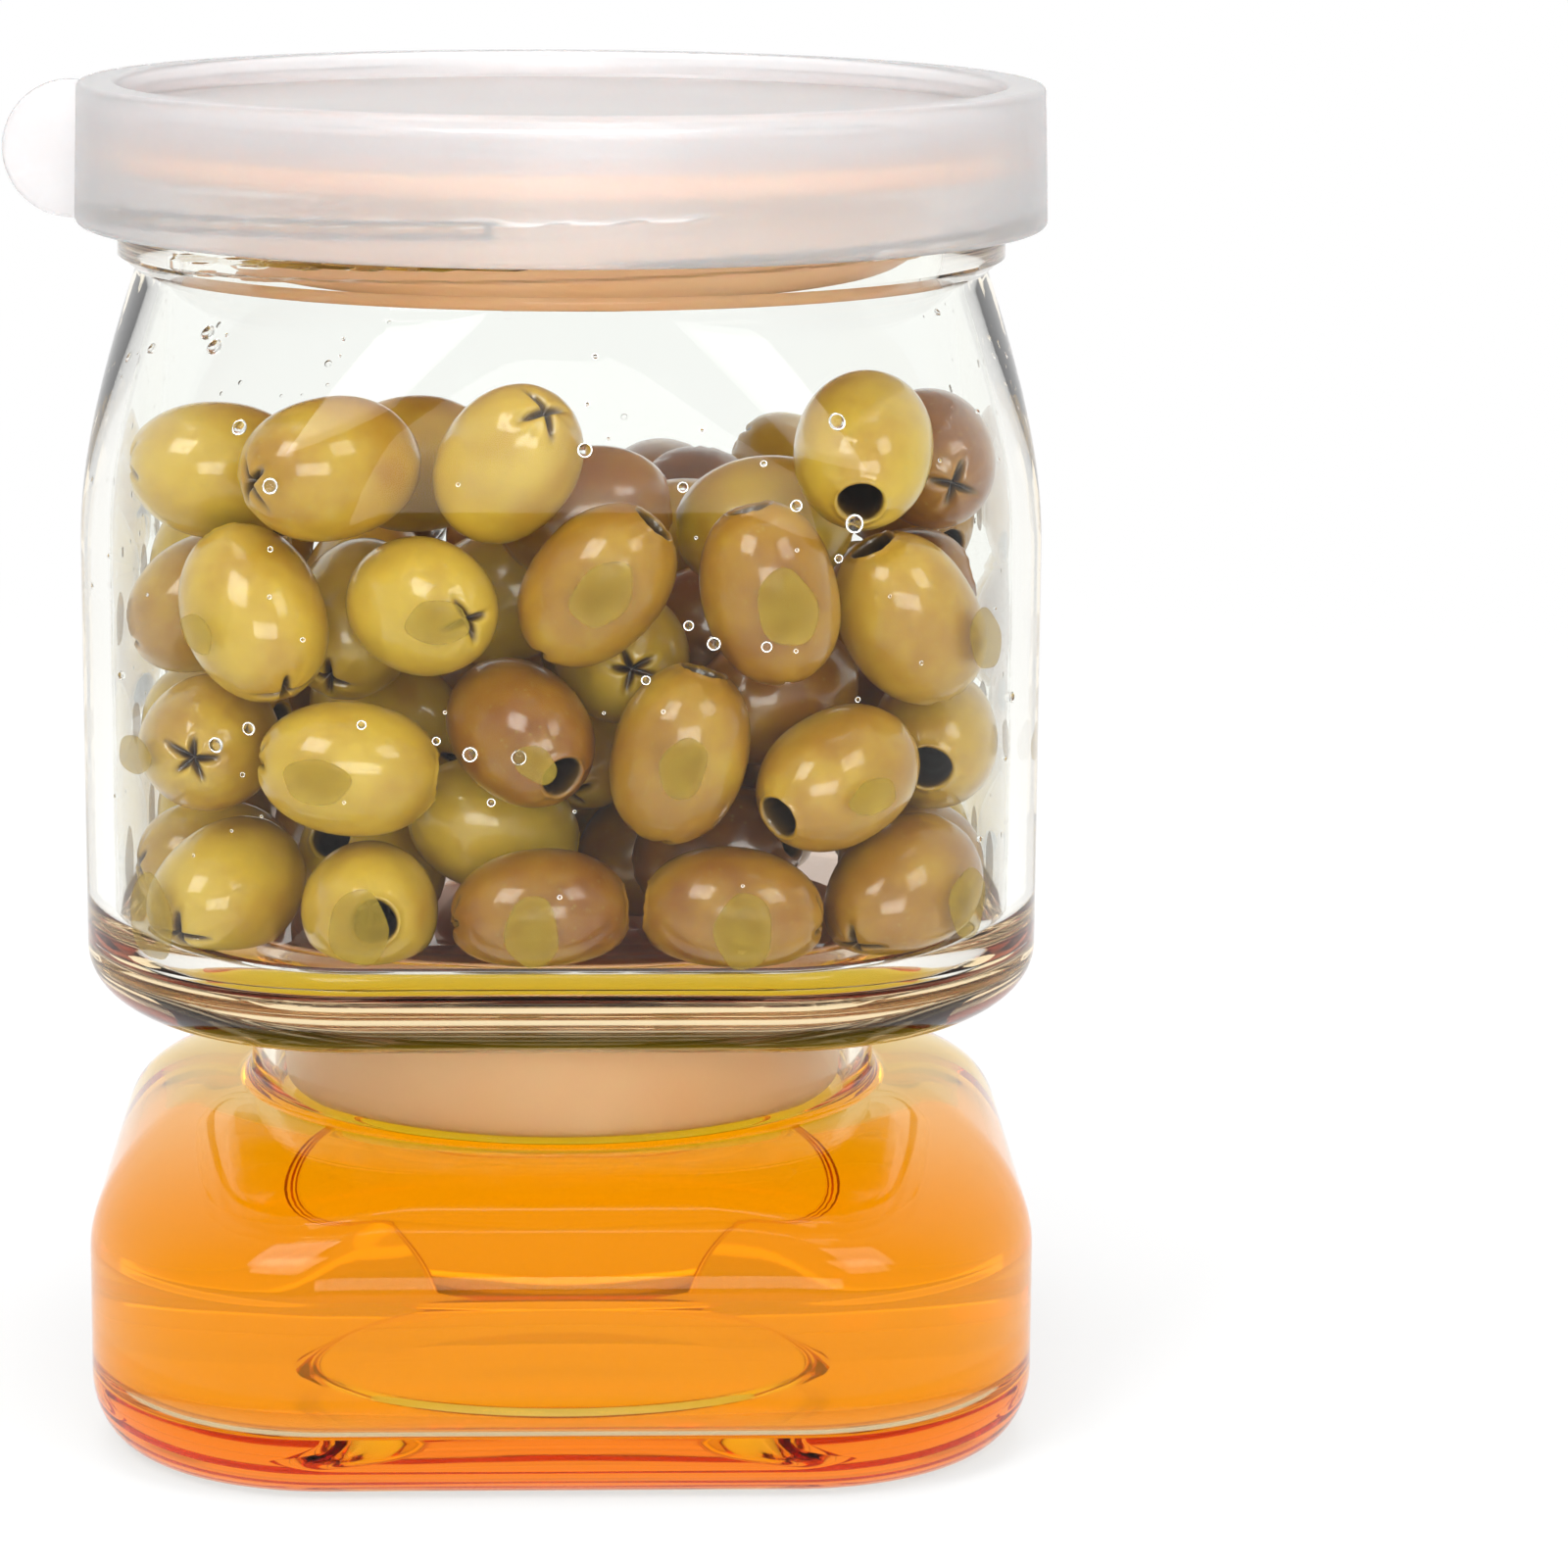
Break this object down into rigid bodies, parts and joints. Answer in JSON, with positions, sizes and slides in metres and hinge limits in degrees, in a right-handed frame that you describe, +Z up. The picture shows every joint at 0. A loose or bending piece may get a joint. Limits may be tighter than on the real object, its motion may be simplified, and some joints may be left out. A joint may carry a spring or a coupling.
{
  "type": "pickle keeper",
  "caption": "Stacked square glass pickle keeper: a jar of olives with a screw lid over a lift-out seal dish, standing on a squat jar of brine closed by its own dish.",
  "frame": {"origin": "on the jars' centre line, at the surface the keeper stands on", "axes": "+Z up along the jars' centre line and the lid's screw axis, +Y into the picture, +X to its right; the lid's pull tab points to -X"},
  "size_m": [0.1169, 0.1088, 0.149],
  "materials": {
    "lid_plastic": "frosted translucent moulded plastic",
    "silicone": "soft translucent silicone, satin",
    "glass": "clear pressed soda-lime glass, fire-polished",
    "brine": "clear amber liquid",
    "brine_puddle": "thin reddish liquid",
    "olive_low": "wet olive skin, brownish green",
    "olive_mid": "wet olive skin, khaki",
    "olive_high": "wet olive skin, light khaki"
  },
  "bodies": {
    "lower_jar": {"lower_jar": "glass", "brine": "brine"},
    "lower_dish": {"lower_dish": "silicone"},
    "upper_jar": {"upper_jar": "glass", "brine_puddle": "brine_puddle", "olives_layer_1": "olive_low", "olives_layer_2": "olive_mid", "olives_layer_3": "olive_high", "olives_layer_4": "olive_mid", "olives_layer_5": "olive_high"},
    "seal_dish": {"seal_dish": "silicone"},
    "lid": {"lid": "lid_plastic"}
  },
  "joints": [
    {"name": "lower_dish_lift", "type": "slide", "parent": "lower_jar", "child": "lower_dish", "axis": [0, 0, 1], "range_m": [0, 0.05]},
    {"name": "upper_jar_lift", "type": "slide", "parent": "lower_dish", "child": "upper_jar", "axis": [0, 0, 1], "range_m": [0, 0.12]},
    {"name": "seal_dish_lift", "type": "slide", "parent": "upper_jar", "child": "seal_dish", "axis": [0, 0, 1], "range_m": [0, 0.0275]},
    {"name": "lid_turn", "type": "hinge", "parent": "seal_dish", "child": "lid", "pos_m": [0, 0, 0.1433], "axis": [0, 0, 1], "range_deg": [0, 1080]}
  ],
  "couplings": [
    {"joint": "seal_dish_lift", "follows": "lid_turn", "m_per_rad": 0.0014324}
  ]
}
